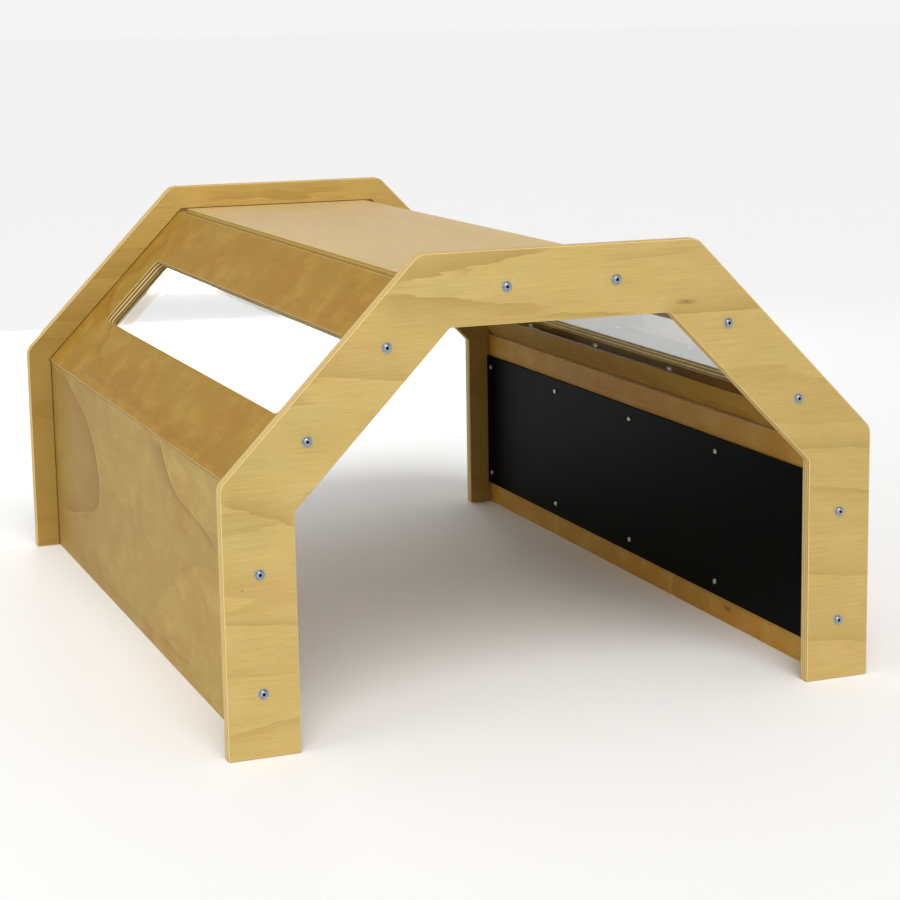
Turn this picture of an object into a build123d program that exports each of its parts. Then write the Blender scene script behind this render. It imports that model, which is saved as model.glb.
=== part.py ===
from build123d import *
import os
from math import atan2, cos, degrees, hypot, sin

# A plywood crawl-through play tunnel: two arch-shaped ends, five panels between them,
# a clear window in each sloping panel and a blackboard inside the right-hand side.
# X runs across the tunnel, Y along it from the front arch (-Y) to the rear arch (+Y), Z up.
# The origin is on the floor in the middle of the tunnel. Sizes are in millimetres.

os.makedirs("parts", exist_ok=True)

# Overall
tunnel_width = 900
tunnel_height = 610
tunnel_length = 1240

# Arches: outline and section
knee_height = 343
top_flat_width = 380
arch_band = 93.5
arch_ply = 18
outer_corner_radius = 20
opening_corner_radius = 6
foot_corner_radius = 2.5
arch_edge_round = 2

# Panels
panel_ply = 15
panel_inset = 39
panel_edge_round = 1.5
groove_depth = 6
groove_clearance = 1.5
slope_foot_setback = 12
slope_head_setback = 22.5
side_seat_gap = 0.3
side_lip_round = 0.5
top_edge_gap = 4

# Windows
window_height = 130
window_end_margin = 111
window_corner_radius = 12
window_edge_round = 1.5
window_sheet = 5
window_side_lap = 28
window_end_lap = 34
window_sheet_corner = 6
window_screw_inset = 13
window_screw_columns = 5

# Blackboard
blackboard_sheet = 4
blackboard_height = 238
blackboard_end_gap = 1.5
blackboard_corner = 3
blackboard_screw_inset = 20.5
blackboard_screw_end_inset = 18.5
blackboard_screw_columns = 5

# Sheets are broken at the edge and drilled a little larger than their screws
sheet_edge_round = 0.6
sheet_hole_clearance = 0.5

# Wood screws, domed head with a cross recess
screw_diameter = 4
screw_head_diameter = 8
screw_head_height = 2.4
screw_head_brim = 0.6
screw_head_flat = 2.4
screw_tip_length = 3
screw_cover = 3.5
screw_recess_width = 0.9
screw_recess_span = 4.4
screw_recess_depth = 1.4
screw_thread_clearance = 0.05

# Machine bolts with a flanged button head and a hexagon socket
bolt_diameter = 6
bolt_spacing = 150
bolt_hole_clearance = 0.6
bolt_flange_diameter = 13.6
bolt_flange_thickness = 1.1
bolt_flange_lip = 0.6
bolt_dome_diameter = 10.4
bolt_dome_flat = 5.6
bolt_head_height = 3.5
bolt_socket_width = 4
bolt_socket_depth = 2.2
bolt_overrun = 2.5
bolt_end_chamfer = 0.6

# Threaded inserts in the ends of the panels
insert_diameter = 9
insert_length = 15
insert_recess = 0.5
insert_thread_clearance = 0.1
insert_fit_clearance = 0.05
insert_end_chamfer = 0.5
insert_hole_relief = 1.5

# Worked out from the sizes above
half_width = tunnel_width / 2
half_length = tunnel_length / 2
slope_rise = tunnel_height - knee_height
slope_reach = half_width - top_flat_width / 2
slope_run = hypot(slope_reach, slope_rise)
slope_angle = atan2(slope_rise, slope_reach)
slope_middle = slope_run / 2
inside_length = tunnel_length - 2 * arch_ply
panel_length = inside_length + 2 * groove_depth
panel_end = panel_length / 2
window_length = inside_length - 2 * window_end_margin
bolt_length = arch_ply - groove_depth + insert_recess + insert_length + bolt_overrun
insert_hole_depth = insert_recess + insert_length + bolt_overrun + insert_hole_relief


# A point on one sloping shoulder: `up` along the slope from the outer knee, `inset` below its
# outer face. Returns its distance from the middle plane and its height.
def slope_point(up, inset):
    x = half_width - up * cos(slope_angle) - inset * sin(slope_angle)
    z = knee_height + up * sin(slope_angle) - inset * cos(slope_angle)
    return x, z


# The arch outline moved inwards by `inset` all round, from the left foot over to the right foot
def arch_outline(inset):
    knee_up = inset * (1 - sin(slope_angle)) / cos(slope_angle)
    top_up = slope_run - inset * (1 - cos(slope_angle)) / sin(slope_angle)
    knee_x, knee_z = slope_point(knee_up, inset)
    top_x, top_z = slope_point(top_up, inset)
    right = [(top_x, top_z), (knee_x, knee_z), (knee_x, 0)]
    left = [(-x, z) for x, z in reversed(right)]
    return left + right


# The slope panel's inner corners settle the panels beside it
slope_foot_up = slope_foot_setback
slope_head_up = slope_run - slope_head_setback
slope_panel_width = slope_head_up - slope_foot_up
slope_panel_middle = (slope_head_up + slope_foot_up) / 2
slope_foot_corner = slope_point(slope_foot_up, panel_inset + panel_ply)
slope_head_corner = slope_point(slope_head_up, panel_inset + panel_ply)
side_panel_height = slope_foot_corner[1] - side_seat_gap
top_panel_width = 2 * (slope_head_corner[0] - top_edge_gap)

# Where the bolts stand in the end of each panel: distance across and height
panel_middle = panel_inset + panel_ply / 2
bolt_steps = (-bolt_spacing / 2, bolt_spacing / 2)
side_bolts = [(half_width - panel_middle, side_panel_height / 2 + step) for step in bolt_steps]
slope_bolts = [slope_point(slope_middle + step, panel_middle) for step in bolt_steps]
top_bolts = [(step, tunnel_height - panel_middle) for step in bolt_steps]


def mirrored(points, side):
    return [(side * x, z) for x, z in points]


all_bolts = top_bolts
for side in (-1, 1):
    all_bolts = all_bolts + mirrored(side_bolts, side) + mirrored(slope_bolts, side)


# A plane across the tunnel, facing out of one end (end is -1 at the front, 1 at the rear)
def end_plane(end, distance):
    return Plane(origin=(0, end * distance, 0), x_dir=(-end, 0, 0), z_dir=(0, end, 0))


# A plane that faces outwards on an upright side (side is -1 at the left, 1 at the right)
def side_plane(side, inset, height=0):
    return Plane(origin=(side * (half_width - inset), 0, height), x_dir=(0, side, 0), z_dir=(side, 0, 0))


# A plane that faces outwards on a slope, its x direction running up the slope
def slope_plane(side, up, inset):
    x, z = slope_point(up, inset)
    uphill = (-side * cos(slope_angle), 0, sin(slope_angle))
    outwards = (side * sin(slope_angle), 0, cos(slope_angle))
    return Plane(origin=(side * x, 0, z), x_dir=uphill, z_dir=outwards)


# The same plane turned over, so that it faces into the tunnel
def facing_in(plane):
    return Plane(origin=plane.origin, x_dir=plane.x_dir, z_dir=-plane.z_dir)


def save(piece, name):
    piece.part.label = name
    export_step(piece.part, f"parts/{name}.step")


# ---- Arches -------------------------------------------------------------------------------

# The slope panel's square foot reaches past the groove's corner, so its slot runs on below it
def slope_slot_corners(side):
    start = slope_foot_up - groove_clearance
    stop = slope_middle
    near = panel_inset - groove_clearance
    far = panel_inset + panel_ply + groove_clearance
    return mirrored([slope_point(start, near), slope_point(stop, near),
                     slope_point(stop, far), slope_point(start, far)], side)


for end, name in ((-1, "front_arch"), (1, "rear_arch")):
    inner_face = end_plane(end, half_length - arch_ply)
    with BuildPart() as arch:
        with BuildSketch(inner_face) as blank:
            with BuildLine():
                Polyline(*arch_outline(0), close=True)
            make_face()
            fillet(blank.vertices().sort_by(Axis.Y)[2:], outer_corner_radius)
        extrude(amount=arch_ply)
        with BuildSketch(inner_face) as opening:
            with BuildLine():
                Polyline(*arch_outline(arch_band), close=True)
            make_face()
            fillet(opening.vertices().sort_by(Axis.Y)[2:], opening_corner_radius)
        extrude(amount=arch_ply, mode=Mode.SUBTRACT)
        fillet(arch.edges().filter_by(Axis.Y).group_by(Axis.Z)[0], foot_corner_radius)
        fillet(arch.faces().filter_by(Axis.Y).edges(), arch_edge_round)
        # Housing groove for the panel ends
        with BuildSketch(inner_face):
            with BuildLine():
                Polyline(*arch_outline(panel_inset - groove_clearance), close=True)
            make_face()
            with BuildLine():
                Polyline(*arch_outline(panel_inset + panel_ply + groove_clearance), close=True)
            make_face(mode=Mode.SUBTRACT)
            for side in (-1, 1):
                with BuildLine():
                    Polyline(*slope_slot_corners(side), close=True)
                make_face()
        extrude(amount=groove_depth, mode=Mode.SUBTRACT)
        # Bolt holes
        with BuildSketch(inner_face):
            with Locations(*all_bolts):
                Circle((bolt_diameter + bolt_hole_clearance) / 2)
        extrude(amount=arch_ply, mode=Mode.SUBTRACT)
    save(arch, name)


# ---- Panels -------------------------------------------------------------------------------

# Holes for the threaded inserts in both ends of a panel, cut inside the panel's own block
def drill_insert_holes(points):
    for end in (-1, 1):
        with BuildSketch(end_plane(end, panel_end)) as holes:
            with Locations(*[(-end * x, z) for x, z in points]):
                Circle(insert_diameter / 2 + insert_fit_clearance)
        extrude(holes.sketch, amount=-insert_hole_depth, mode=Mode.SUBTRACT)


# Blind holes for the wood screws in a panel's inner face, `plane` lying on that face
def drill_screw_holes(plane, x_step, y_step, columns):
    with BuildSketch(plane) as holes:
        with GridLocations(x_step, y_step, 2, columns):
            Circle(screw_diameter / 2 + screw_thread_clearance)
    extrude(holes.sketch, amount=-(panel_ply - screw_cover), mode=Mode.SUBTRACT)


window_screw_rows = window_height + 2 * (window_side_lap - window_screw_inset)
window_screw_step = (window_length + 2 * (window_end_lap - window_screw_inset)) / (window_screw_columns - 1)
blackboard_length = inside_length - 2 * blackboard_end_gap
blackboard_screw_rows = blackboard_height - 2 * blackboard_screw_inset
blackboard_screw_step = (
    (blackboard_length - 2 * blackboard_screw_end_inset) / (blackboard_screw_columns - 1))


# The face of a panel that a sheet lies on, facing into the tunnel, with its x direction
# up the panel and its origin in the middle of the sheet
def window_seat(side):
    return facing_in(slope_plane(side, slope_middle, panel_inset + panel_ply))


def blackboard_seat():
    inner_face = side_plane(1, panel_inset + panel_ply, side_panel_height / 2)
    return Plane(origin=inner_face.origin, x_dir=(0, 0, 1), z_dir=-inner_face.z_dir)


# Section of a side panel, from its inner foot round to the end of its seat. The slope panel's
# square foot lies on the bevel that runs from the seat up to the lip.
def side_section():
    outer = half_width - panel_inset
    inner = outer - panel_ply
    bevel_up = slope_foot_up - side_seat_gap
    lip_inset = (panel_inset - bevel_up * cos(slope_angle)) / sin(slope_angle)
    seat_inset = (knee_height + bevel_up * sin(slope_angle) - side_panel_height) / cos(slope_angle)
    return [(inner, side_panel_height), (inner, 0), (outer, 0),
            slope_point(bevel_up, lip_inset), slope_point(bevel_up, seat_inset)]


for side, name in ((-1, "left_side_panel"), (1, "right_side_panel")):
    with BuildPart() as side_panel:
        with BuildSketch(end_plane(-1, panel_end)) as section:
            with BuildLine():
                Polyline(*mirrored(side_section(), side), close=True)
            make_face()
            from_floor = section.vertices().sort_by(Axis.Y)
            inner_top = from_floor[2:4].sort_by(lambda corner: abs(corner.X))[0]
            fillet(from_floor[:2] + [inner_top], panel_edge_round)
            fillet(section.vertices().sort_by(Axis.Y)[-1], side_lip_round)
        extrude(amount=-panel_length)
        drill_insert_holes(mirrored(side_bolts, side))
        if side == 1:
            drill_screw_holes(blackboard_seat(), blackboard_screw_rows, blackboard_screw_step,
                              blackboard_screw_columns)
    save(side_panel, name)

for side, name in ((-1, "left_slope_panel"), (1, "right_slope_panel")):
    outer_face = slope_plane(side, slope_panel_middle, panel_inset)
    with BuildPart() as slope_panel:
        with BuildSketch(outer_face):
            Rectangle(slope_panel_width, panel_length)
        extrude(amount=-panel_ply)
        fillet(slope_panel.edges().filter_by(Axis.Y), panel_edge_round)
        with BuildSketch(slope_plane(side, slope_middle, panel_inset)):
            RectangleRounded(window_height, window_length, window_corner_radius)
        extrude(amount=-panel_ply, mode=Mode.SUBTRACT)
        face_side = Axis(outer_face.origin, outer_face.z_dir)
        window_rim = slope_panel.faces().sort_by(face_side)[-1].inner_wires()[0]
        fillet(window_rim.edges(), window_edge_round)
        drill_insert_holes(mirrored(slope_bolts, side))
        drill_screw_holes(window_seat(side), window_screw_rows, window_screw_step, window_screw_columns)
    save(slope_panel, name)

with BuildPart() as top_panel:
    with BuildSketch(Plane.XY.offset(tunnel_height - panel_inset)):
        Rectangle(top_panel_width, panel_length)
    extrude(amount=-panel_ply)
    fillet(top_panel.edges().filter_by(Axis.Y), panel_edge_round)
    drill_insert_holes(top_bolts)
save(top_panel, "top_panel")


# ---- Window sheets and blackboard -----------------------------------------------------------

# A flat sheet on its seat, with rounded corners, a broken edge and a grid of screw holes
def cut_sheet(sheet, seat, size, corner, thickness, grid):
    with BuildSketch(seat) as blank:
        RectangleRounded(*size, corner)
    extrude(blank.sketch, amount=thickness)
    room_side = sheet.faces().sort_by(Axis(seat.origin, seat.z_dir))[-1]
    fillet(room_side.edges(), sheet_edge_round)
    with BuildSketch(seat) as holes:
        with GridLocations(*grid):
            Circle((screw_diameter + sheet_hole_clearance) / 2)
    extrude(holes.sketch, amount=thickness, mode=Mode.SUBTRACT)


window_sheet_size = (window_height + 2 * window_side_lap, window_length + 2 * window_end_lap)
window_grid = (window_screw_rows, window_screw_step, 2, window_screw_columns)
blackboard_size = (blackboard_height, blackboard_length)
blackboard_grid = (blackboard_screw_rows, blackboard_screw_step, 2, blackboard_screw_columns)

for side, name in ((-1, "left_window"), (1, "right_window")):
    with BuildPart() as window:
        cut_sheet(window, window_seat(side), window_sheet_size, window_sheet_corner, window_sheet,
                  window_grid)
    save(window, name)

with BuildPart() as blackboard:
    cut_sheet(blackboard, blackboard_seat(), blackboard_size, blackboard_corner, blackboard_sheet,
              blackboard_grid)
save(blackboard, "blackboard")


# ---- Wood screws ----------------------------------------------------------------------------

# One screw, head upwards, its origin under the head. `grip` is the sheet that it holds.
def make_screw(grip):
    reach = grip + panel_ply - screw_cover - 2 * screw_thread_clearance
    shank = screw_diameter / 2
    rim = screw_head_diameter / 2
    flat = screw_head_flat / 2
    with BuildPart(mode=Mode.PRIVATE) as screw:
        with BuildSketch(Plane.XZ):
            with BuildLine():
                Polyline((0, screw_head_height), (0, -reach), (shank, screw_tip_length - reach),
                         (shank, 0), (rim, 0), (rim, screw_head_brim))
                TangentArc((rim, screw_head_brim), (flat, screw_head_height), tangent=(0, 1))
                Line((flat, screw_head_height), (0, screw_head_height))
            make_face()
        revolve(axis=Axis.Z)
        with BuildSketch(Plane.XY.offset(screw_head_height)):
            Rectangle(screw_recess_span, screw_recess_width)
            Rectangle(screw_recess_width, screw_recess_span)
        extrude(amount=-screw_recess_depth, mode=Mode.SUBTRACT)
    return screw.part


def fit_screws(name, seat, thickness, grid):
    screw = make_screw(thickness)
    with BuildPart() as screws:
        with Locations(seat.offset(thickness)):
            with GridLocations(*grid):
                add(screw)
    save(screws, name)


fit_screws("left_window_screws", window_seat(-1), window_sheet, window_grid)
fit_screws("right_window_screws", window_seat(1), window_sheet, window_grid)
fit_screws("blackboard_screws", blackboard_seat(), blackboard_sheet, blackboard_grid)


# ---- Bolts and threaded inserts --------------------------------------------------------------

# One bolt, head upwards, its origin under the flange
with BuildPart() as bolt:
    flange = bolt_flange_diameter / 2
    dome = bolt_dome_diameter / 2
    flat = bolt_dome_flat / 2
    shank = bolt_diameter / 2
    with BuildSketch(Plane.XZ):
        with BuildLine():
            Polyline((0, bolt_head_height), (0, -bolt_length), (shank - bolt_end_chamfer, -bolt_length),
                     (shank, bolt_end_chamfer - bolt_length), (shank, 0), (flange, 0),
                     (flange, bolt_flange_lip), (dome, bolt_flange_thickness))
            TangentArc((dome, bolt_flange_thickness), (flat, bolt_head_height), tangent=(0, 1))
            Line((flat, bolt_head_height), (0, bolt_head_height))
        make_face()
    revolve(axis=Axis.Z)
    with BuildSketch(Plane.XY.offset(bolt_head_height)):
        RegularPolygon(bolt_socket_width / 2, 6, major_radius=False)
    extrude(amount=-bolt_socket_depth, mode=Mode.SUBTRACT)

# One insert, its origin in the middle of its open end
with BuildPart() as insert:
    Cylinder(insert_diameter / 2, insert_length, align=(Align.CENTER, Align.CENTER, Align.MAX))
    chamfer(insert.edges().group_by(Axis.Z)[0], insert_end_chamfer)
    Hole(bolt_diameter / 2 + insert_thread_clearance)

fixings = (
    ("left_side", mirrored(side_bolts, -1)),
    ("right_side", mirrored(side_bolts, 1)),
    ("left_slope", mirrored(slope_bolts, -1)),
    ("right_slope", mirrored(slope_bolts, 1)),
    ("top", top_bolts),
)
for panel, points in fixings:
    with BuildPart() as bolts:
        for end in (-1, 1):
            with Locations(end_plane(end, half_length)):
                with Locations(*[(-end * x, z) for x, z in points]):
                    add(bolt.part)
    save(bolts, f"{panel}_bolts")
    with BuildPart() as inserts:
        for end in (-1, 1):
            with Locations(end_plane(end, panel_end - insert_recess)):
                with Locations(*[(-end * x, z) for x, z in points]):
                    add(insert.part)
    save(inserts, f"{panel}_inserts")
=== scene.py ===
# A plywood crawl-through play tunnel: finishes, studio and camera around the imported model.
import bpy
import math
from mathutils import Matrix, Vector


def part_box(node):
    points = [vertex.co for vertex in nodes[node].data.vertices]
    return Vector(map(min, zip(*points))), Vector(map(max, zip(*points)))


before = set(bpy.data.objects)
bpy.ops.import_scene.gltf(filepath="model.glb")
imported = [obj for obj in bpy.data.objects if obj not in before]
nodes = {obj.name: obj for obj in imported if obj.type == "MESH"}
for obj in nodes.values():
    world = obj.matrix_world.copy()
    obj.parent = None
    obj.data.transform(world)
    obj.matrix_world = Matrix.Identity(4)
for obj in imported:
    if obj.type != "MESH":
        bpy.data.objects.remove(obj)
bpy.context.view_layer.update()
scene = bpy.context.scene
print("frame loaded:", len(nodes), "nodes")


# a colour as it is picked on a screen, 0 to 255, turned into scene values
def tone(red, green, blue):
    def linear(value):
        value = value / 255
        return value / 12.92 if value <= 0.04045 else ((value + 0.055) / 1.055) ** 2.4
    return (linear(red), linear(green), linear(blue), 1.0)


# short ways to add and join shader nodes
class Tree:
    def __init__(self, name):
        self.mat = bpy.data.materials.new(name)
        self.mat.use_nodes = True
        self.nodes = self.mat.node_tree.nodes
        self.links = self.mat.node_tree.links
        self.nodes.clear()
        self.place = self.add("ShaderNodeTexCoord").outputs["Object"]

    def fill(self, socket, value):
        if isinstance(value, bpy.types.NodeSocket):
            self.links.new(value, socket)
        else:
            socket.default_value = value

    def add(self, kind, values=None, **settings):
        node = self.nodes.new(kind)
        for key, value in settings.items():
            setattr(node, key, value)
        for key, value in (values or {}).items():
            self.fill(node.inputs[key], value)
        return node

    def math(self, operation, a, b=0.0, c=0.0):
        return self.add("ShaderNodeMath", {0: a, 1: b, 2: c}, operation=operation).outputs[0]

    def times(self, a, b):
        return self.math("MULTIPLY", a, b)

    def mix(self, factor, a, b):
        return self.add("ShaderNodeMix", {0: factor, 6: a, 7: b}, data_type="RGBA").outputs[2]

    # 0 where value is under low, 1 over high, a smooth rise between
    def rise(self, value, low, high):
        return self.add("ShaderNodeMapRange", {0: value, 1: low, 2: high},
                        interpolation_type="SMOOTHSTEP").outputs[0]

    # 1 where value is under low, 0 over high, a smooth fall between
    def fall(self, value, low, high):
        return self.math("SUBTRACT", 1.0, self.rise(value, low, high))

    # a noise from 0 to 1 turned into a push of up to half of reach either way
    def sway(self, noise, reach):
        return self.math("MULTIPLY_ADD", noise, reach, -reach / 2)

    # 1 at offset 0, fading away above it
    def fade(self, offset, length):
        return self.math("EXPONENT", self.times(self.math("MAXIMUM", offset, 0.0), -1 / length))

    def stretch(self, vector, scale, offset=(0, 0, 0)):
        return self.add("ShaderNodeMapping",
                        {"Vector": vector, "Scale": scale, "Location": offset}).outputs[0]

    def noise(self, vector, detail=3.0, rough=0.55, distortion=0.0, scale=1.0):
        return self.add("ShaderNodeTexNoise", {"Vector": vector, "Scale": scale, "Detail": detail,
                                               "Roughness": rough, "Distortion": distortion}).outputs["Fac"]

    def ramp(self, factor, *stops):
        node = self.add("ShaderNodeValToRGB", {0: factor})
        elements = node.color_ramp.elements
        elements.remove(elements[1])
        for i, (place, colour) in enumerate(stops):
            stop = elements.new(place) if i else elements[0]
            stop.position = place
            stop.color = colour
        return node.outputs[0]

    def dot(self, vector, axis):
        return self.add("ShaderNodeVectorMath", {0: vector, 1: axis},
                        operation="DOT_PRODUCT").outputs["Value"]

    def join(self, x, y, z):
        return self.add("ShaderNodeCombineXYZ", {0: x, 1: y, 2: z}).outputs[0]

    def finish(self, height=None, bumpStrength=0.2, bumpDepth=0.0004, **surface):
        values = {key.replace("_", " "): value for key, value in surface.items()}
        if height is not None:
            bump = self.add("ShaderNodeBump",
                            {"Height": height, "Strength": bumpStrength, "Distance": bumpDepth})
            values["Normal"] = bump.outputs[0]
        shader = self.add("ShaderNodeBsdfPrincipled", values)
        out = self.add("ShaderNodeOutputMaterial")
        self.links.new(shader.outputs[0], out.inputs[0])
        return self.mat


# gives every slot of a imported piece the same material
def dress(node, mat):
    slots = nodes[node].data.materials
    if len(slots) == 0:
        slots.append(mat)
    for i in range(len(slots)):
        slots[i] = mat


# the sheets' places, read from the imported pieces
mm = 0.001
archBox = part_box("front_arch")
archPly = archBox[1][1] - archBox[0][1]
halfWidth = archBox[1][0]
kneeHeight = 343 * mm
topFlat = 380 * mm
slopeAngle = math.atan2(archBox[1][2] - kneeHeight, halfWidth - topFlat / 2)
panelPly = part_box("top_panel")[1][2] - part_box("top_panel")[0][2]
panelInset = archBox[1][2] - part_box("top_panel")[1][2]

# Colours of the ply edges: long plies, cross plies and their end grain, glue, and how dark the glue
# lines are. Contrasty in the window cut-outs, pale round the arches, olive along the top panel, and
# cream where the side panels meet the slopes. The olive and the cream are lightened as painted light,
# for edges that lie in shade in the gaps between the panels.
edgeLook = {"long": tone(238, 216, 156), "cross": tone(150, 116, 58), "glue": tone(66, 42, 20),
            "dots": tone(104, 74, 36), "lines": 0.95}
paleEdge = {"long": tone(232, 207, 142), "cross": tone(200, 168, 100), "glue": tone(140, 104, 54),
            "dots": tone(168, 132, 74), "lines": 0.6}
oliveEdgePaintedLight = {"long": tone(222, 192, 106), "cross": tone(204, 170, 88), "glue": tone(120, 88, 40),
             "dots": tone(176, 142, 70), "lines": 0.5}
creamEdgePaintedLight = {"long": tone(250, 238, 204), "cross": tone(238, 218, 170), "glue": tone(206, 176, 120),
             "dots": tone(220, 194, 140), "lines": 0.4}


# Where a sheet lies: a point on its outer face, the way its grain runs, the way across it, and the
# way in. Places on the sheet are then (along, across, depth) in millimetres.
def sheetPlace(tree, origin, along, across, inward):
    moved = tree.add("ShaderNodeVectorMath", {0: tree.place, 1: origin}, operation="SUBTRACT").outputs[0]
    measured = tree.add("ShaderNodeVectorMath", {0: moved, 3: 1 / mm}, operation="SCALE").outputs[0]
    return [tree.dot(measured, axis) for axis in (along, across, inward)]


# How the figure's lines are drawn. Each step is where a line starts and ends its turn from clear to
# dark, in millimetres for the lines, in radii for an island, in radii squared for a knot.
figureShape = {
    "growthStep": (-0.7, 0.4), "growthEnd": 20,
    "tracedStep": (-2.0, 1.5), "tracedRim": (-9.0, -2.0, 0.5), "tracedLow": (-4, 14), "tracedHigh": (-8, 6),
    "islandStep": (-0.006, 0.006), "islandRim": (-0.05, -0.006), "islandRimEnd": (-0.006, 0.004),
    "knotSway": 1.6, "knotRing": (0.35, 1.3), "knotHeart": (0.0, 0.3),
}


# One growth line: dark on one side of a slightly wavy line, fading away from it over `fade`
# millimetres. `side` 1 darkens above the line, -1 below it.
def growthLine(tree, along, across, wave, line):
    (u0, v0), (u1, v1) = line["ends"]
    lean = (v1 - v0) / (u1 - u0)
    height = tree.math("MULTIPLY_ADD", along, lean, v0 - lean * u0)
    offset = tree.math("SUBTRACT", across, height)
    offset = tree.math("ADD", offset, tree.sway(wave, line["wave"]))
    offset = tree.times(offset, line["side"])
    shade = tree.times(tree.fade(offset, line["fade"]), tree.rise(offset, *figureShape["growthStep"]))
    soft = line.get("soft", figureShape["growthEnd"])
    inside = tree.times(tree.rise(along, u0 - soft, u0 + soft), tree.fall(along, u1 - soft, u1 + soft))
    return tree.times(tree.times(shade, inside), line["dark"])


# Distance from the middle of an oval, squared: 1 on its outline
def ovalReach(tree, along, across, oval):
    (u, v), (a, b) = oval["centre"], oval["radii"]
    du = tree.math("MULTIPLY_ADD", along, 1 / a, -u / a)
    dv = tree.math("MULTIPLY_ADD", across, 1 / b, -v / b)
    return tree.math("ADD", tree.times(du, du), tree.times(dv, dv))


# One island in the figure: an oval with an uneven outline, darker on one side of it
def figureIsland(tree, along, across, wave, island):
    reach = tree.math("SQRT", ovalReach(tree, along, across, island))
    uneven = island["wave"]
    reach = tree.math("ADD", reach, tree.math("MULTIPLY_ADD", wave, uneven, -uneven / 2 - 1))
    reach = tree.times(reach, island["side"])
    shade = tree.times(tree.fade(reach, island["fade"]), tree.rise(reach, *figureShape["islandStep"]))
    rim = tree.times(tree.rise(reach, *figureShape["islandRim"]),
                     tree.fall(reach, *figureShape["islandRimEnd"]))
    return tree.times(shade, island["dark"]), tree.times(rim, island["rim"])


# One traced line: a smooth curve through points on the sheet, given from low to high across the
# grain, dark on one side of it and fading away from it, down to a share `left` of its darkness
def tracedLine(tree, along, across, wave, line):
    points = line["points"]
    low, high = points[0][1], points[-1][1]
    near = min(u for u, v in points)
    far = max(u for u, v in points)
    height = tree.add("ShaderNodeMapRange", {0: across, 1: low, 2: high}).outputs[0]
    trace = tree.add("ShaderNodeFloatCurve", {1: height})
    curve = trace.mapping.curves[0]
    places = [((v - low) / (high - low), (u - near) / (far - near)) for u, v in points]
    for place in places[1:-1]:
        curve.points.new(*place)
    curve.points[0].location = places[0]
    curve.points[len(places) - 1].location = places[-1]
    trace.mapping.update()
    lineAlong = tree.math("MULTIPLY_ADD", trace.outputs[0], far - near, near)
    offset = tree.math("SUBTRACT", along, lineAlong)
    offset = tree.math("ADD", offset, tree.sway(wave, line["wave"]))
    offset = tree.times(offset, line["side"])
    shade = tree.math("MULTIPLY_ADD", tree.fade(offset, line["fade"]), 1 - line["left"], line["left"])
    shade = tree.times(shade, tree.rise(offset, *figureShape["tracedStep"]))
    rimStart, rimFull, rimEnd = figureShape["tracedRim"]
    rim = tree.times(tree.rise(offset, rimStart, rimFull), tree.fall(offset, rimFull, rimEnd))
    startLow, fullLow = figureShape["tracedLow"]
    fullHigh, endHigh = figureShape["tracedHigh"]
    inside = tree.times(tree.rise(across, low + startLow, low + fullLow),
                        tree.fall(across, high + fullHigh, high + endHigh))
    return [tree.times(tree.times(part, inside), strength)
            for part, strength in ((shade, line["dark"]), (rim, line["rim"]))]


# A knot: a small dark eye with a darker heart
def knot(tree, along, across, wave, spot):
    reach = ovalReach(tree, along, across, spot)
    reach = tree.math("ADD", reach, tree.sway(wave, figureShape["knotSway"]))
    ring = tree.fall(reach, *figureShape["knotRing"])
    heart = tree.fall(reach, *figureShape["knotHeart"])
    return tree.times(tree.math("ADD", ring, heart), spot["dark"] / 2)


# What all the veneers share. A grain's stretch is how often it changes in a millimetre along the
# grain and across it. A show is the pair of levels between which a pattern comes in.
veneer = {
    "seedStep": (7.3, 3.1), "wave": (0.006, 0.03, 1), "ripple": (0.02, 0.14, 1), "rippleShare": 0.12,
    "ringFall": 3.0, "ringShow": (0.0, 0.03),
    "fibre": (0.014, 0.9, 1), "fibreShow": (0.38, 0.68), "pores": (0.07, 1.5, 1), "poreShow": (0.62, 0.76),
    "blotch": (0.004, 0.011, 1), "blotchStops": (0.32, 0.52, 0.7),
    "cloud": (0.016, 0.022, 1), "cloudShow": (0.42, 0.72),
    "speck": 0.017, "speckSize": (0.014, 0.026), "speckChoice": 0.45, "speckDark": 0.6,
    "cloudRough": 0.16, "edgeRough": 0.15, "fibreHeight": 0.6, "poreHeight": 0.5,
    "bump": 0.22, "bumpDepth": 0.0003, "ior": 1.45,
}
# the layers of the edge, in millimetres
layerShape = {
    "skin": 0.9, "skinStart": 0.7, "wearAndHighlightBand": (0.05, 0.3), "swayScale": 14, "sway": 0.5, "glue": (0.03, 0.11),
    "streak": (0.03, 0.03, 1.6), "streakShow": (0.35, 0.75), "streakDark": 0.4,
    "endGrain": 0.8, "endGrainShow": (0.4, 0.7),
}
# what a sheet has unless its own look says otherwise
# rub is the strength of the pale line at each arris, partly worn face veneer and partly painted highlight
plainLook = {"cloud": 0.25, "pores": 0.3, "fibre": 0.34, "wearAndHighlight": 0.75, "rough": 0.38, "shine": 0.3,
             "lines": (), "islands": (), "traced": (), "knots": (), "toneAndShadeDrift": None}


# A change of tone from one end of a sheet to the other, on the first or the second of its axes: the
# veneer's own tone on the front arch and the left side panel, painted shade on the rear arch
def toneAndShadeRamp(tree, places, toneAndShadeDrift):
    start, end = toneAndShadeDrift["reach"]
    way = tree.rise if start < end else tree.fall
    return tree.times(way(places[toneAndShadeDrift["axis"]], min(start, end), max(start, end)), toneAndShadeDrift["amount"])


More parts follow.
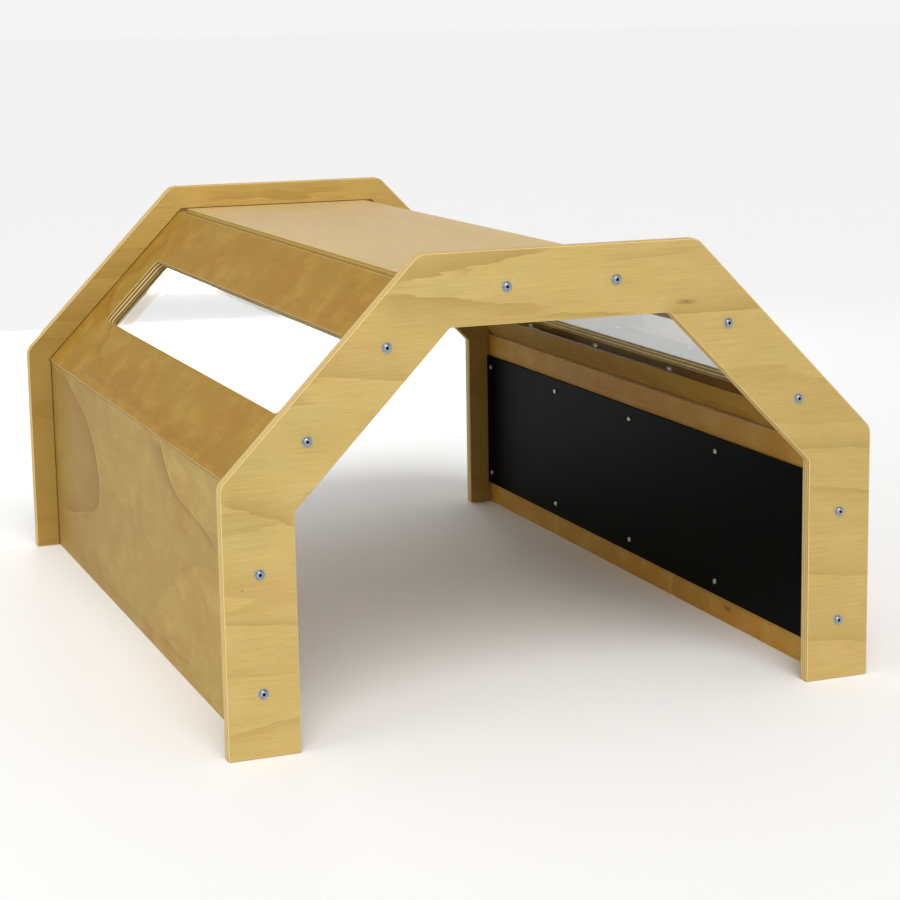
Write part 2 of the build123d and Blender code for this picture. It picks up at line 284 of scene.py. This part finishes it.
def plywood(name, look, ply, layers, origin, along, across, inward):
    tree = Tree(name)
    u, v, w = sheetPlace(tree, origin, along, across, inward)
    flat = tree.join(u, v, 0.0)
    solid = tree.join(u, v, w)
    seed = look["seed"]
    alongStep, acrossStep = veneer["seedStep"]
    shift = (seed * alongStep, seed * acrossStep, seed)

    # broad figure: contours of a stretched noise, each one dark on one side and fading to the next
    wave = tree.noise(tree.stretch(flat, veneer["wave"], shift), detail=3.0)
    ripple = tree.noise(tree.stretch(flat, veneer["ripple"], shift), detail=4.0, rough=0.6)
    figure = tree.noise(tree.stretch(flat, look["figure"], shift), detail=1.5, rough=0.4, distortion=0.3)
    contour = tree.math("MULTIPLY_ADD", figure, look["rings"], tree.times(ripple, veneer["rippleShare"]))
    contour = tree.math("FRACT", contour)
    ringShade = tree.math("POWER", tree.math("SUBTRACT", 1.0, contour), veneer["ringFall"])
    ringShade = tree.times(ringShade, tree.rise(contour, *veneer["ringShow"]))
    dark = tree.times(ringShade, look["ringDark"])
    pale = 0.0
    for line in look["lines"]:
        dark = tree.math("MAXIMUM", dark, growthLine(tree, u, v, ripple, line))
    rimmed = [figureIsland(tree, u, v, wave, island) for island in look["islands"]]
    rimmed += [tracedLine(tree, u, v, ripple, line) for line in look["traced"]]
    for shade, rim in rimmed:
        dark = tree.math("MAXIMUM", dark, shade)
        pale = tree.math("ADD", pale, rim)

    # fibres, pores and blotches
    fibre = tree.noise(tree.stretch(flat, veneer["fibre"], shift), detail=4.0, rough=0.65)
    pores = tree.noise(tree.stretch(flat, veneer["pores"], shift), detail=2.0, rough=0.5)
    pores = tree.rise(pores, *veneer["poreShow"])
    blotch = tree.noise(tree.stretch(flat, veneer["blotch"], shift), detail=3.0, rough=0.6, distortion=0.4)
    cloud = tree.noise(tree.stretch(flat, veneer["cloud"], shift), detail=4.0, rough=0.6)
    specks = tree.add("ShaderNodeTexVoronoi", {"Vector": flat, "Scale": veneer["speck"], "Randomness": 1.0})
    speck = tree.fall(specks.outputs["Distance"], *veneer["speckSize"])
    draw = tree.add("ShaderNodeSeparateColor", {0: specks.outputs["Color"]}).outputs[0]
    speck = tree.times(speck, tree.math("GREATER_THAN", draw, veneer["speckChoice"]))

    tones = (look["warm"], look["base"], look["cool"])
    face = tree.ramp(blotch, *zip(veneer["blotchStops"], tones))
    face = tree.mix(tree.times(tree.rise(cloud, *veneer["cloudShow"]), look["cloud"]), face, look["light"])
    face = tree.mix(tree.times(tree.rise(fibre, *veneer["fibreShow"]), look["fibre"]), face, look["dark"])
    face = tree.mix(tree.times(pores, look["pores"]), face, look["pore"])
    # a change of tone along the sheet: the veneer's own, except on the rear arch, where it is painted shade
    # towards the feet
    if look["toneAndShadeDrift"]:
        face = tree.mix(toneAndShadeRamp(tree, (u, v), look["toneAndShadeDrift"]), face, look["dark"])
    face = tree.mix(dark, face, look["dark"])
    if rimmed:
        face = tree.mix(pale, face, look["light"])
    for spot in look["knots"]:
        face = tree.mix(knot(tree, u, v, ripple, spot), face, look["pore"])
    face = tree.mix(tree.times(speck, veneer["speckDark"]), face, look["pore"])

    # layers of the edge: long plies are pale, cross plies show their end grain, glue between them
    skin = layerShape["skin"]
    inner = (ply / mm - 2 * skin) / (layers - 2)
    sway = tree.noise(tree.stretch(tree.place, (layerShape["swayScale"],) * 3), detail=1.0)
    depth = tree.math("ADD", w, tree.sway(sway, layerShape["sway"]))
    level = tree.math("DIVIDE", tree.math("SUBTRACT", depth, skin), inner)
    isLong = tree.math("GREATER_THAN", tree.math("FLOORED_MODULO", level, 2.0), 1.0)
    glue = tree.fall(tree.math("PINGPONG", level, 0.5), *layerShape["glue"])
    streak = tree.noise(tree.stretch(solid, layerShape["streak"]), detail=3.0, rough=0.6)
    endGrain = tree.noise(tree.stretch(solid, (layerShape["endGrain"],) * 3), detail=2.0)
    plies = look["edge"]
    cross = tree.mix(tree.rise(endGrain, *layerShape["endGrainShow"]), plies["cross"], plies["dots"])
    edge = tree.mix(isLong, cross, plies["long"])
    streaked = tree.times(tree.rise(streak, *layerShape["streakShow"]), layerShape["streakDark"])
    edge = tree.mix(streaked, edge, plies["cross"])
    edge = tree.mix(tree.times(glue, plies["lines"]), edge, plies["glue"])

    # the face takes over where the depth is less than a skin, with a paler line at the turn: partly the
    # worn face veneer, partly a painted highlight on the rounded arris
    skinned = tree.math("MINIMUM", w, tree.math("SUBTRACT", ply / mm, w))
    onEdge = tree.rise(skinned, skin * layerShape["skinStart"], skin)
    turned = tree.times(tree.rise(skinned, *layerShape["wearAndHighlightBand"]), tree.math("SUBTRACT", 1.0, onEdge))
    face = tree.mix(tree.times(turned, look["wearAndHighlight"]), face, plies["long"])
    colour = tree.mix(onEdge, face, edge)

    roughness = tree.math("MULTIPLY_ADD", cloud, veneer["cloudRough"], look["rough"])
    roughness = tree.math("ADD", roughness, tree.times(onEdge, veneer["edgeRough"]))
    height = tree.math("SUBTRACT", tree.times(fibre, veneer["fibreHeight"]),
                       tree.times(pores, veneer["poreHeight"]))
    return tree.finish(height, bumpStrength=veneer["bump"], bumpDepth=veneer["bumpDepth"],
                       Base_Color=colour, Roughness=roughness, IOR=veneer["ior"],
                       Specular_IOR_Level=look["shine"])


# front arch: pale honey veneer, grain across, with growth lines and two knots
archLook = dict(
    plainLook, seed=1.0, figure=(0.0016, 0.011, 1), rings=3.2, ringDark=0.3, edge=paleEdge, pores=0.4,
    base=tone(198, 171, 102), warm=tone(202, 170, 104), cool=tone(190, 167, 102),
    light=tone(212, 188, 126), dark=tone(156, 126, 64), pore=tone(122, 88, 42),
    toneAndShadeDrift={"axis": 0, "reach": (-150, 350), "amount": 0.16},
    lines=(
        {"ends": ((-448, 322), (-356, 288)), "side": 1, "fade": 22, "dark": 0.62, "wave": 26},
        {"ends": ((-460, 175), (-340, 162)), "side": 1, "fade": 9, "dark": 0.45, "wave": 8},
        {"ends": ((-460, 108), (-360, 103)), "side": 1, "fade": 14, "dark": 0.25, "wave": 10},
        {"ends": ((-460, 33), (-340, 50)), "side": -1, "fade": 12, "dark": 0.4, "wave": 12},
        {"ends": ((-345, 472), (-200, 453)), "side": 1, "fade": 34, "dark": 0.42, "wave": 8},
        {"ends": ((-250, 566), (-20, 536)), "side": -1, "fade": 30, "dark": 0.55, "wave": 14, "soft": 40},
        {"ends": ((-225, 576), (-20, 606)), "side": 1, "fade": 26, "dark": 0.6, "wave": 18, "soft": 30},
        {"ends": ((-40, 527), (90, 522)), "side": -1, "fade": 9, "dark": 0.6, "wave": 18},
        {"ends": ((150, 514), (300, 513)), "side": 1, "fade": 16, "dark": 0.6, "wave": 12},
        {"ends": ((60, 585), (190, 594)), "side": 1, "fade": 8, "dark": 0.4, "wave": 10},
        {"ends": ((320, 325), (460, 314)), "side": 1, "fade": 15, "dark": 0.5, "wave": 10},
        {"ends": ((330, 372), (430, 378)), "side": -1, "fade": 14, "dark": 0.4, "wave": 12},
        {"ends": ((350, 272), (460, 256)), "side": -1, "fade": 12, "dark": 0.4, "wave": 12},
        {"ends": ((350, 150), (460, 138)), "side": 1, "fade": 14, "dark": 0.35, "wave": 12},
        {"ends": ((350, 60), (460, 44)), "side": 1, "fade": 18, "dark": 0.4, "wave": 16},
    ),
    knots=({"centre": (172, 529), "radii": (18, 3.4), "dark": 0.75},
           {"centre": (-426, 214), "radii": (2.2, 1.8), "dark": 0.9}))
# rear arch: the same sheet, with painted shade that darkens it towards its feet, and other growth lines
rearLook = dict(
    archLook, seed=4.0, rings=3.4, ringDark=0.35, knots=(),
    base=tone(196, 164, 88), warm=tone(198, 160, 86), cool=tone(188, 160, 88),
    light=tone(212, 182, 108), dark=tone(138, 106, 42),
    # painted shade: darker towards the feet, mixing towards the dark tone
    toneAndShadeDrift={"axis": 1, "reach": (560, 330), "amount": 0.6},
    lines=(
        {"ends": ((-470, 250), (-340, 262)), "side": -1, "fade": 30, "dark": 0.3, "wave": 14},
        {"ends": ((-120, 582), (120, 590)), "side": 1, "fade": 14, "dark": 0.35, "wave": 14},
        {"ends": ((330, 210), (470, 196)), "side": 1, "fade": 20, "dark": 0.4, "wave": 14},
        {"ends": ((-330, 480), (-220, 470)), "side": 1, "fade": 26, "dark": 0.35, "wave": 12},
    ))
# side panels: olive brown, cloudy, with a long island at the rear and a line that runs down forwards
sideLook = dict(
    plainLook, seed=2.0, figure=(0.0012, 0.0045, 1), rings=1.7, ringDark=0.24, edge=creamEdgePaintedLight,
    base=tone(182, 151, 76), warm=tone(176, 140, 70), cool=tone(176, 154, 82),
    light=tone(204, 178, 106), dark=tone(140, 104, 46), pore=tone(112, 78, 38), pores=0.25,
    cloud=0.45, fibre=0.28, rough=0.46, shine=0.16,
    toneAndShadeDrift={"axis": 0, "reach": (-200, 560), "amount": 0.3},
    traced=(
        {"points": ((547, 72), (371, 106), (275, 132), (253, 156),
                    (261, 201), (321, 261), (399, 288), (492, 313)),
         "side": 1, "fade": 90, "left": 0.3, "dark": 0.75, "rim": 0.35, "wave": 10},
        {"points": ((-465, 217), (-408, 237), (-324, 248), (-247, 259), (-191, 289), (-168, 314)),
         "side": 1, "fade": 60, "left": 0.1, "dark": 0.75, "rim": 0.35, "wave": 8},
    ),
    lines=(
        {"ends": ((380, 214), (640, 212)), "side": 1, "fade": 18, "dark": 0.3, "wave": 10},
        {"ends": ((-300, 30), (300, 20)), "side": -1, "fade": 16, "dark": 0.4, "wave": 20, "soft": 120},
    ))
rightSideLook = dict(
    sideLook, seed=6.0, base=tone(192, 146, 58), warm=tone(194, 140, 50), cool=tone(188, 150, 64),
    dark=tone(150, 104, 36), traced=(), toneAndShadeDrift=None,
    knots=({"centre": (-323, 23), "radii": (15, 5), "dark": 0.8},),
    islands=({"centre": (-560, 20), "radii": (420, 60), "side": -1, "fade": 0.3, "dark": 0.4, "rim": 0.3,
              "wave": 0.14},),
    lines=({"ends": ((-250, 292), (250, 284)), "side": 1, "fade": 14, "dark": 0.3, "wave": 24,
            "soft": 120},))
# slope panels: the brownest sheets, finely mottled
slopeLook = dict(
    plainLook, seed=3.0, figure=(0.0018, 0.006, 1), rings=1.5, ringDark=0.2, edge=edgeLook,
    base=tone(165, 127, 48), warm=tone(164, 119, 45), cool=tone(160, 131, 54),
    light=tone(190, 154, 74), dark=tone(134, 92, 28), pore=tone(100, 62, 22), pores=0.3,
    cloud=0.55, fibre=0.3, rough=0.48, shine=0.16,
    traced=(
        {"points": ((295, 38), (340, 61), (397, 75), (406, 99), (439, 118), (503, 133), (547, 152),
                    (577, 182), (580, 204), (538, 232), (545, 261), (522, 283), (535, 296)),
         "side": 1, "fade": 14, "left": 0.0, "dark": 0.55, "rim": 0.0, "wave": 8},
    ),
    lines=({"ends": ((-500, 20), (430, 28)), "side": 1, "fade": 26, "dark": 0.3, "wave": 40,
            "soft": 160},))
# top panel: pale and slightly pink
topLook = dict(
    plainLook, seed=5.0, figure=(0.0016, 0.006, 1), rings=2.4, ringDark=0.2, edge=oliveEdgePaintedLight,
    base=tone(214, 184, 128), warm=tone(216, 180, 132), cool=tone(210, 182, 116),
    light=tone(226, 200, 146), dark=tone(186, 152, 92), pore=tone(150, 112, 62), pores=0.15)


# Frame of an upright sheet that faces along one of the axes, and of a slope panel. Each starts on
# the sheet's outer face.
def uprightFrame(origin, along, inward):
    return {"origin": origin, "along": along, "across": (0, 0, 1), "inward": inward}


def slopeFrame(way):
    lean, climb = math.sin(slopeAngle), math.cos(slopeAngle)
    inward = (-way * lean, 0, -climb)
    uphill = (-way * climb, 0, lean)
    knee = (way * halfWidth + inward[0] * panelInset, 0, kneeHeight + inward[2] * panelInset)
    return {"origin": knee, "along": (0, 1, 0), "across": uphill, "inward": inward}


archLayers, panelLayers = 9, 7
frontFace = uprightFrame((0, archBox[0][1], 0), (1, 0, 0), (0, 1, 0))
rearFace = uprightFrame((0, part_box("rear_arch")[1][1], 0), (1, 0, 0), (0, -1, 0))
leftFace = uprightFrame((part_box("left_side_panel")[0][0], 0, 0), (0, 1, 0), (1, 0, 0))
rightFace = uprightFrame((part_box("right_side_panel")[1][0], 0, 0), (0, 1, 0), (-1, 0, 0))
topFace = {"origin": (0, 0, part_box("top_panel")[1][2]), "along": (0, 1, 0), "across": (1, 0, 0),
           "inward": (0, 0, -1)}
rightSlopeLook = dict(slopeLook, seed=7.0, traced=())
arch = (archPly, archLayers)
panel = (panelPly, panelLayers)
finishes = {
    "front_arch": plywood("archPlywoodFront", archLook, *arch, **frontFace),
    "rear_arch": plywood("archPlywoodRear", rearLook, *arch, **rearFace),
    "left_side_panel": plywood("sidePlywoodLeft", sideLook, *panel, **leftFace),
    "right_side_panel": plywood("sidePlywoodRight", rightSideLook, *panel, **rightFace),
    "left_slope_panel": plywood("slopePlywoodLeft", slopeLook, *panel, **slopeFrame(-1)),
    "right_slope_panel": plywood("slopePlywoodRight", rightSlopeLook, *panel, **slopeFrame(1)),
    "top_panel": plywood("topPlywood", topLook, *panel, **topFace),
}
for name, mat in finishes.items():
    dress(name, mat)
print("plywood done:", len(finishes), "sheets")

# clear sheets, with a little haze and fine scratches along the length
clearLook = {"tint": (0.93, 0.945, 0.93, 1), "rough": 0.02, "ior": 1.49, "scratch": (4, 60, 60),
             "scratchShow": (0.66, 0.8), "scratchRough": 0.05, "haze": 9.0, "hazeRough": 0.01}
tree = Tree("clearSheet")
haze = tree.noise(tree.place, detail=4.0, scale=clearLook["haze"])
scratch = tree.noise(tree.stretch(tree.place, clearLook["scratch"]), detail=3.0)
scratch = tree.rise(scratch, *clearLook["scratchShow"])
clearRough = tree.math("MULTIPLY_ADD", scratch, clearLook["scratchRough"], clearLook["rough"])
clearRough = tree.math("MULTIPLY_ADD", haze, clearLook["hazeRough"], clearRough)
clearSheet = tree.finish(Base_Color=clearLook["tint"], Roughness=clearRough, IOR=clearLook["ior"],
                         Transmission_Weight=1.0)
for name in ("left_window", "right_window"):
    dress(name, clearSheet)

# blackboard: matt black with traces of wiped dust
boardLook = {"base": tone(5, 6, 6), "dust": tone(26, 27, 26), "smear": (1, 5, 11), "smearShow": (0.5, 0.85),
             "dusty": 0.14, "rough": 0.3, "smearRough": 0.12, "grit": 900.0, "bump": 0.12,
             "bumpDepth": 0.0001, "ior": 1.45, "shine": 0.02}
tree = Tree("blackboardFace")
smear = tree.noise(tree.stretch(tree.place, boardLook["smear"]), detail=5.0, rough=0.6, distortion=1.2)
grit = tree.noise(tree.place, detail=2.0, scale=boardLook["grit"])
dusty = tree.times(tree.rise(smear, *boardLook["smearShow"]), boardLook["dusty"])
boardColour = tree.mix(dusty, boardLook["base"], boardLook["dust"])
boardRough = tree.math("MULTIPLY_ADD", smear, boardLook["smearRough"], boardLook["rough"])
blackboardFace = tree.finish(grit, bumpStrength=boardLook["bump"], bumpDepth=boardLook["bumpDepth"],
                             Base_Color=boardColour, Roughness=boardRough, IOR=boardLook["ior"],
                             Specular_IOR_Level=boardLook["shine"])
dress("blackboard", blackboardFace)

# zinc plated fixings: bright and dull spangles, and painted shade in the sockets of the bolts and in a ring
# at the foot of their domes
zincLook = {"spangle": 420.0, "spangleShow": (0.35, 0.7), "cloud": 60.0, "cloudRough": 0.16, "bump": 0.15,
            "bumpDepth": 0.00008, "socketShade": tone(22, 24, 26), "socketShadeEdge": 0.05 * mm,
            "socketShadeFade": 0.25 * mm}


# recess is how far out from the middle of the tunnel the painted shade starts and ends, along its length
def zinc(name, bright, dull, rough, recess=None):
    tree = Tree(name)
    spangle = tree.noise(tree.place, detail=3.0, scale=zincLook["spangle"])
    cloud = tree.noise(tree.place, detail=2.0, scale=zincLook["cloud"])
    colour = tree.mix(tree.rise(spangle, *zincLook["spangleShow"]), bright, dull)
    # painted shade: the socket floors, and a thin ring where each dome meets its flange, are darkened
    if recess:
        start, end = recess
        outward = tree.math("ABSOLUTE", tree.add("ShaderNodeSeparateXYZ", {0: tree.place}).outputs[1])
        socketShade = tree.times(tree.rise(outward, start - zincLook["socketShadeEdge"], start),
                           tree.fall(outward, end, end + zincLook["socketShadeFade"]))
        colour = tree.mix(socketShade, colour, zincLook["socketShade"])
    roughness = tree.math("MULTIPLY_ADD", cloud, zincLook["cloudRough"], rough)
    return tree.finish(spangle, bumpStrength=zincLook["bump"], bumpDepth=zincLook["bumpDepth"],
                       Base_Color=colour, Roughness=roughness, Metallic=1.0)


headTop = -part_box("top_bolts")[0][1]
socketShadeReach = (2.3 * mm, 2.1 * mm)  # below the top of the bolt heads
fixings = {
    "_bolts": zinc("boltZinc", tone(170, 180, 192), tone(126, 138, 152), 0.24,
                   recess=[headTop - reach for reach in socketShadeReach]),
    "_screws": zinc("screwZinc", tone(214, 214, 206), tone(170, 170, 162), 0.22),
    "_inserts": zinc("insertZinc", tone(198, 192, 170), tone(160, 154, 134), 0.3),
}
for name in nodes:
    for ending, mat in fixings.items():
        if name.endswith(ending):
            dress(name, mat)
print("sheets, board and fixings done")

# studio: a large pale floor, a sky that is white at the horizon, one broad sun and two soft boxes
studio = {"floorHalf": 90.0, "floor": (0.97, 0.97, 0.967, 1), "floorPatch": (0.965, 0.965, 0.962, 1),
          "floorDrop": 0.4 * mm, "mottle": 2.0, "floorRough": 0.7,
          "horizon": 0.91, "above": 0.46, "skyLow": 0.03, "skyHigh": 0.5,
          "sun": 1.9, "sunHeight": 50, "sunTurn": 14, "sunSpread": 38}
lamps = {
    "sideBox": {"place": (-3.6, -1.4, 2.2), "target": (0, 0, 0.3), "size": (1.8, 1.8), "power": 22},
    "backBox": {"place": (0.45, 3.2, 0.45), "target": (0.05, 0, 0.1), "size": (1.1, 0.7), "power": 16},
}
half = studio["floorHalf"]
corners = [(-half, -half, 0), (half, -half, 0), (half, half, 0), (-half, half, 0)]
floorMesh = bpy.data.meshes.new("floor")
floorMesh.from_pydata(corners, [], [(0, 1, 2, 3)])
floor = bpy.data.objects.new("floor", floorMesh)
floor.location.z = -studio["floorDrop"]
scene.collection.objects.link(floor)
tree = Tree("floorPaint")
mottle = tree.noise(tree.place, detail=3.0, scale=studio["mottle"])
floorColour = tree.mix(mottle, studio["floor"], studio["floorPatch"])
floorMesh.materials.append(tree.finish(Base_Color=floorColour, Roughness=studio["floorRough"]))

# the sky's strength falls with height, from the horizon up
world = bpy.data.worlds.new("studio")
world.use_nodes = True
sky = world.node_tree
background = sky.nodes["Background"]
background.inputs[0].default_value = (1, 1, 1, 1)
skyPlace = sky.nodes.new("ShaderNodeTexCoord")
skyParts = sky.nodes.new("ShaderNodeSeparateXYZ")
skyLevel = sky.nodes.new("ShaderNodeMapRange")
skyLevel.interpolation_type = "SMOOTHSTEP"
for i, key in enumerate(("skyLow", "skyHigh", "horizon", "above"), start=1):
    skyLevel.inputs[i].default_value = studio[key]
sky.links.new(skyPlace.outputs["Generated"], skyParts.inputs[0])
sky.links.new(skyParts.outputs[2], skyLevel.inputs[0])
sky.links.new(skyLevel.outputs[0], background.inputs[1])
scene.world = world
scene.view_settings.view_transform = "Standard"


def softBox(name, box):
    light = bpy.data.lights.new(name, "AREA")
    light.shape = "RECTANGLE"
    light.size, light.size_y = box["size"]
    light.energy = box["power"]
    lamp = bpy.data.objects.new(name, light)
    lamp.location = box["place"]
    lamp.rotation_mode = "QUATERNION"
    aim = Vector(box["target"]) - Vector(box["place"])
    lamp.rotation_quaternion = aim.to_track_quat("-Z", "Y")
    scene.collection.objects.link(lamp)


for name, box in lamps.items():
    softBox(name, box)

sunLight = bpy.data.lights.new("broadLight", "SUN")
sunLight.energy = studio["sun"]
sunLight.angle = math.radians(studio["sunSpread"])
sun = bpy.data.objects.new("broadLight", sunLight)
sun.rotation_euler = (math.radians(90 - studio["sunHeight"]), 0, math.radians(-studio["sunTurn"]))
scene.collection.objects.link(sun)

# camera: turned to the right of the tunnel's length, looking a little down, with a slight roll
view = {"place": (-1.1215, -3.1345, 0.9007), "turn": 21.07, "tilt": 9.968, "roll": -0.946, "lens": 88.57,
        "sensor": 36.0, "shift": -0.0556}
cameraData = bpy.data.cameras.new("camera")
cameraData.lens = view["lens"]
cameraData.sensor_width = view["sensor"]
cameraData.shift_y = view["shift"]
camera = bpy.data.objects.new("camera", cameraData)


def turned(degrees, axis):
    return Matrix.Rotation(math.radians(degrees), 4, axis)


camera.matrix_world = (Matrix.Translation(view["place"]) @ turned(-view["turn"], "Z")
                       @ turned(90 - view["tilt"], "X") @ turned(view["roll"], "Z"))
scene.collection.objects.link(camera)
scene.camera = camera
print("studio and camera done")
